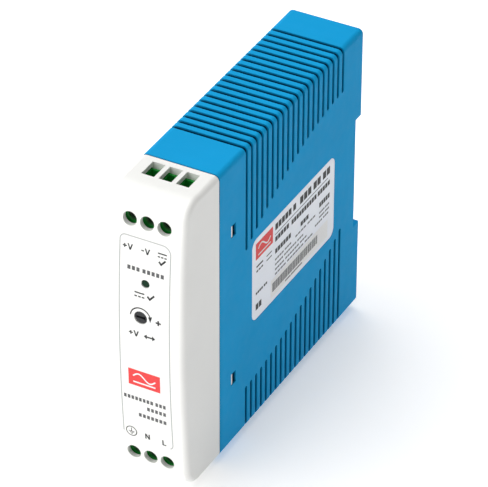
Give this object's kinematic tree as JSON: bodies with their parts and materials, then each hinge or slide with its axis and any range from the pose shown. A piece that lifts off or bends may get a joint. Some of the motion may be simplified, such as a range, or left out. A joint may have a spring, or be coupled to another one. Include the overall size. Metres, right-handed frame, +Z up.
{
  "type": "din rail power supply",
  "caption": "Narrow rail-mounted power supply: slotted blue case, bowed pale front cover, screw terminals above and below, indicator lamp, trimmer and sprung rail latch.",
  "frame": {"origin": "middle of the flat seat that bears on the 35 mm rail", "axes": "+X to the side with the rating label, -Y out of the front panel, +Y out of the rear towards the rail, +Z up"},
  "size_m": [0.0226, 0.1, 0.09],
  "materials": {
    "case_plastic": "moulded, satin",
    "cover_plastic": "moulded, satin",
    "label_film": "printed silver film",
    "latch_plastic": "moulded",
    "spring_steel": "drawn wire",
    "terminal_plastic": "moulded, semi-gloss",
    "contact_brass": "tinned",
    "screw_steel": "zinc plated",
    "clamp_steel": "zinc plated",
    "board_laminate": "solder mask over glass-epoxy",
    "header_plastic": "moulded",
    "pin_metal": "tinned",
    "insulation_film": "thin film",
    "led_lens": "clear tinted",
    "guide_plastic": "clear tinted",
    "trimmer_plastic": "moulded",
    "rotor_plastic": "moulded",
    "fuse_glass": "clear with metal caps",
    "thermistor_coating": "dipped",
    "varistor_coating": "dipped",
    "film_capacitor_case": "moulded",
    "ferrite": "sintered",
    "winding_wire": "enamelled copper",
    "chip_epoxy": "moulded epoxy",
    "capacitor_sleeve": "shrink sleeve over aluminium",
    "lead_wire": "tinned",
    "bobbin_plastic": "moulded",
    "winding_tape": "polyester tape",
    "heat_sink_metal": "mill finish",
    "y_capacitor_coating": "dipped",
    "resistor_coating": "lacquered"
  },
  "bodies": {
    "case": {"board_header": "header_plastic", "bridge_rectifier": "chip_epoxy", "bulk_capacitor": "capacitor_sleeve", "bulk_capacitor_leads": "lead_wire", "case_shell": "case_plastic", "choke_core": "ferrite", "choke_windings": "winding_wire", "controller_chip": "chip_epoxy", "front_board": "board_laminate", "front_cover": "cover_plastic", "header_pins": "pin_metal", "heat_sink_screws": "screw_steel", "inductor_core": "ferrite", "inductor_winding": "winding_wire", "input_contacts": "contact_brass", "input_fuse": "fuse_glass", "input_terminal_block": "terminal_plastic", "insulation_sheet": "insulation_film", "latch_spring": "spring_steel", "light_guide": "guide_plastic", "main_board": "board_laminate", "optocoupler": "chip_epoxy", "output_capacitors": "capacitor_sleeve", "output_contacts": "contact_brass", "output_rectifier": "chip_epoxy", "output_terminal_block": "terminal_plastic", "primary_heat_sink": "heat_sink_metal", "primary_switch": "chip_epoxy", "rating_label": "label_film", "regulator": "chip_epoxy", "secondary_heat_sink": "heat_sink_metal", "snubber_resistors": "resistor_coating", "status_led": "led_lens", "thermistor": "thermistor_coating", "transformer_bobbin": "bobbin_plastic", "transformer_core": "ferrite", "transformer_winding": "winding_tape", "trimmer_body": "trimmer_plastic", "varistor": "varistor_coating", "x_capacitor": "film_capacitor_case", "y_capacitors": "y_capacitor_coating"},
    "latch": {"din_latch": "latch_plastic"},
    "trimmer_rotor": {"trimmer_rotor": "rotor_plastic"},
    "output_screw_1": {"output_screw_1": "screw_steel"},
    "output_clamp_1": {"output_clamp_1": "clamp_steel"},
    "output_screw_2": {"output_screw_2": "screw_steel"},
    "output_clamp_2": {"output_clamp_2": "clamp_steel"},
    "output_screw_3": {"output_screw_3": "screw_steel"},
    "output_clamp_3": {"output_clamp_3": "clamp_steel"},
    "input_screw_1": {"input_screw_1": "screw_steel"},
    "input_clamp_1": {"input_clamp_1": "clamp_steel"},
    "input_screw_2": {"input_screw_2": "screw_steel"},
    "input_clamp_2": {"input_clamp_2": "clamp_steel"},
    "input_screw_3": {"input_screw_3": "screw_steel"},
    "input_clamp_3": {"input_clamp_3": "clamp_steel"}
  },
  "joints": [
    {"name": "latch_slide", "type": "slide", "parent": "case", "child": "latch", "axis": [0, 0, -1], "range_m": [0, 0.003], "stiffness_N_per_m": 300, "springref_m": -0.005, "deforming": ["latch_spring"]},
    {"name": "output_adjust", "type": "hinge", "parent": "case", "child": "trimmer_rotor", "pos_m": [-0.00135, -0.09, 0.0087], "axis": [0, 1, 0], "range_deg": [-120, 120]},
    {"name": "output_screw_1_turn", "type": "hinge", "parent": "case", "child": "output_screw_1", "pos_m": [-0.005, -0.09, 0.0373], "axis": [0, 1, 0], "range_deg": [0, 1620]},
    {"name": "output_clamp_1_slide", "type": "slide", "parent": "case", "child": "output_clamp_1", "axis": [0, -1, 0], "range_m": [0, 0.00202]},
    {"name": "output_screw_2_turn", "type": "hinge", "parent": "case", "child": "output_screw_2", "pos_m": [0, -0.09, 0.0373], "axis": [0, 1, 0], "range_deg": [0, 1620]},
    {"name": "output_clamp_2_slide", "type": "slide", "parent": "case", "child": "output_clamp_2", "axis": [0, -1, 0], "range_m": [0, 0.00202]},
    {"name": "output_screw_3_turn", "type": "hinge", "parent": "case", "child": "output_screw_3", "pos_m": [0.005, -0.09, 0.0373], "axis": [0, 1, 0], "range_deg": [0, 1620]},
    {"name": "output_clamp_3_slide", "type": "slide", "parent": "case", "child": "output_clamp_3", "axis": [0, -1, 0], "range_m": [0, 0.00202]},
    {"name": "input_screw_1_turn", "type": "hinge", "parent": "case", "child": "input_screw_1", "pos_m": [-0.005, -0.09, -0.0373], "axis": [0, 1, 0], "range_deg": [0, 1620]},
    {"name": "input_clamp_1_slide", "type": "slide", "parent": "case", "child": "input_clamp_1", "axis": [0, -1, 0], "range_m": [0, 0.00202]},
    {"name": "input_screw_2_turn", "type": "hinge", "parent": "case", "child": "input_screw_2", "pos_m": [0, -0.09, -0.0373], "axis": [0, 1, 0], "range_deg": [0, 1620]},
    {"name": "input_clamp_2_slide", "type": "slide", "parent": "case", "child": "input_clamp_2", "axis": [0, -1, 0], "range_m": [0, 0.00202]},
    {"name": "input_screw_3_turn", "type": "hinge", "parent": "case", "child": "input_screw_3", "pos_m": [0.005, -0.09, -0.0373], "axis": [0, 1, 0], "range_deg": [0, 1620]},
    {"name": "input_clamp_3_slide", "type": "slide", "parent": "case", "child": "input_clamp_3", "axis": [0, -1, 0], "range_m": [0, 0.00202]}
  ],
  "couplings": [
    {"joint": "output_screw_1_turn", "follows": "output_clamp_1_slide", "rad_per_m": 13963},
    {"joint": "output_screw_2_turn", "follows": "output_clamp_2_slide", "rad_per_m": 13963},
    {"joint": "output_screw_3_turn", "follows": "output_clamp_3_slide", "rad_per_m": 13963},
    {"joint": "input_screw_1_turn", "follows": "input_clamp_1_slide", "rad_per_m": 13963},
    {"joint": "input_screw_2_turn", "follows": "input_clamp_2_slide", "rad_per_m": 13963},
    {"joint": "input_screw_3_turn", "follows": "input_clamp_3_slide", "rad_per_m": 13963}
  ]
}
